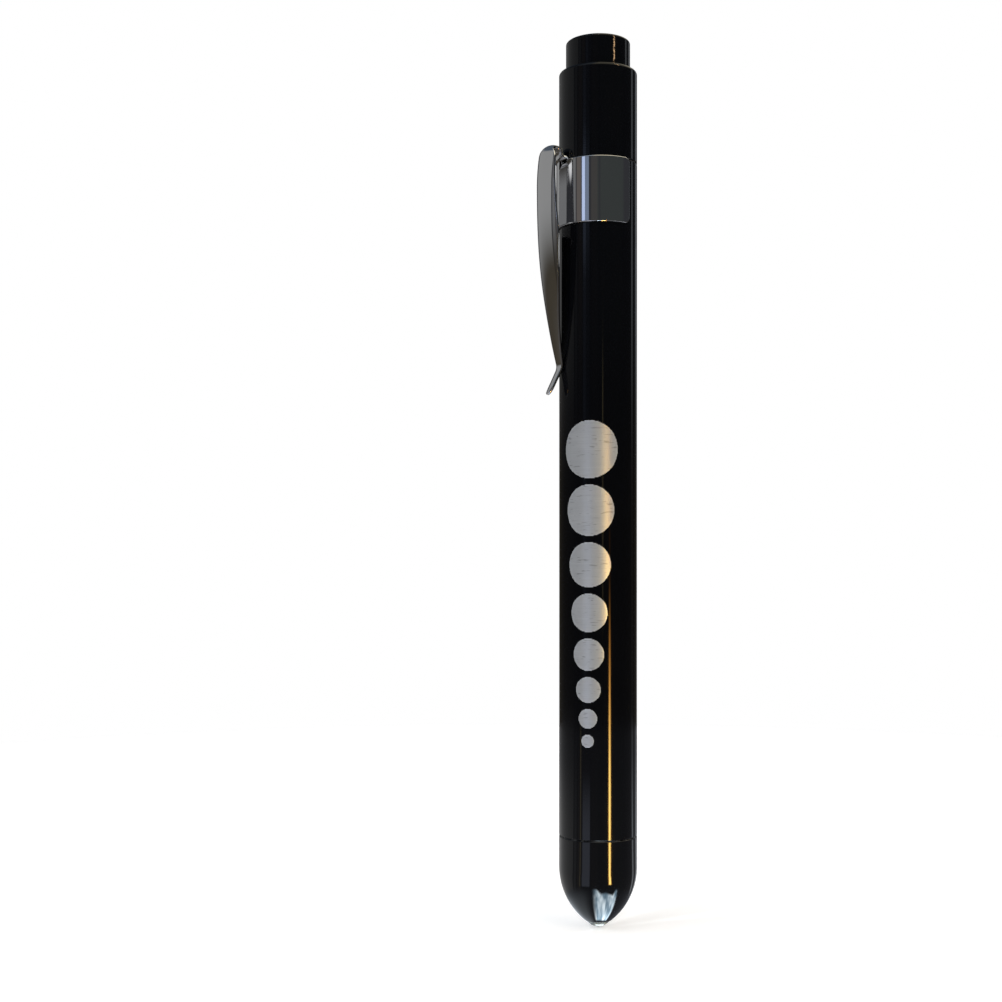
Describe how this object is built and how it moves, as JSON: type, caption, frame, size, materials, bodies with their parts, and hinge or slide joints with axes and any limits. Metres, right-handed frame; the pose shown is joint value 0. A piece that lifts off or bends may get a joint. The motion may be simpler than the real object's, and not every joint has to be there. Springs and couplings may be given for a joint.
{
  "type": "penlight",
  "caption": "Slim metal pocket penlight with a rounded lamp head, spring clip, screw-on tail cap and push-button switch; a pupil gauge and a short rule are marked on the barrel.",
  "frame": {"origin": "tip of the lamp's dome, on the pen's axis, where the light leaves", "axes": "+Z along the pen from lamp to push button, so the button is up as in the picture; the clip is toward -X"},
  "size_m": [0.0162, 0.0134, 0.1409],
  "materials": {
    "black_anodised": "glossy black anodised",
    "clip_chrome": "polished",
    "clear_epoxy": "clear moulded",
    "tinned_lead": "tinned",
    "white_plastic": "moulded",
    "brass": "turned",
    "cell_can": "nickel-plated",
    "cell_label": "shrink sleeve",
    "spring_wire": "drawn wire"
  },
  "bodies": {
    "barrel": {"head": "black_anodised", "led_lens": "clear_epoxy", "led_leads": "tinned_lead", "led_holder": "white_plastic", "ground_washer": "brass", "positive_contact": "brass", "barrel": "black_anodised", "front_cell_can": "cell_can", "front_cell_base": "cell_can", "front_cell_label": "cell_label", "rear_cell_can": "cell_can", "rear_cell_base": "cell_can", "rear_cell_label": "cell_label", "clip_band": "clip_chrome"},
    "clip": {"clip_arm": "clip_chrome"},
    "cell_spring": {"battery_spring": "spring_wire"},
    "cap": {"tail_cap": "black_anodised", "switch_housing": "white_plastic", "contact_rivet": "brass", "return_spring": "spring_wire"},
    "button": {"push_button": "black_anodised", "plunger": "brass", "plunger_clip": "spring_wire"}
  },
  "joints": [
    {"name": "clip_flex", "type": "hinge", "parent": "barrel", "child": "clip", "pos_m": [-0.00802, 0, 0.12223], "axis": [0, 1, 0], "range_deg": [0, 6], "stiffness_Nm_per_rad": 0.9, "springref_deg": -2.86},
    {"name": "cap_lift", "type": "slide", "parent": "barrel", "child": "cell_spring", "axis": [0, 0, 1], "range_m": [0, 0.00501]},
    {"name": "cap_turn", "type": "hinge", "parent": "cell_spring", "child": "cap", "pos_m": [0, 0, 0.1214], "axis": [0, 0, 1], "range_deg": [0, 1800]},
    {"name": "button_press", "type": "slide", "parent": "cap", "child": "button", "axis": [0, 0, -1], "range_m": [0, 0.002], "stiffness_N_per_m": 600, "springref_m": -0.004, "deforming": ["return_spring"]}
  ],
  "couplings": [
    {"joint": "cap_lift", "follows": "cap_turn", "m_per_rad": 0.00015915}
  ]
}
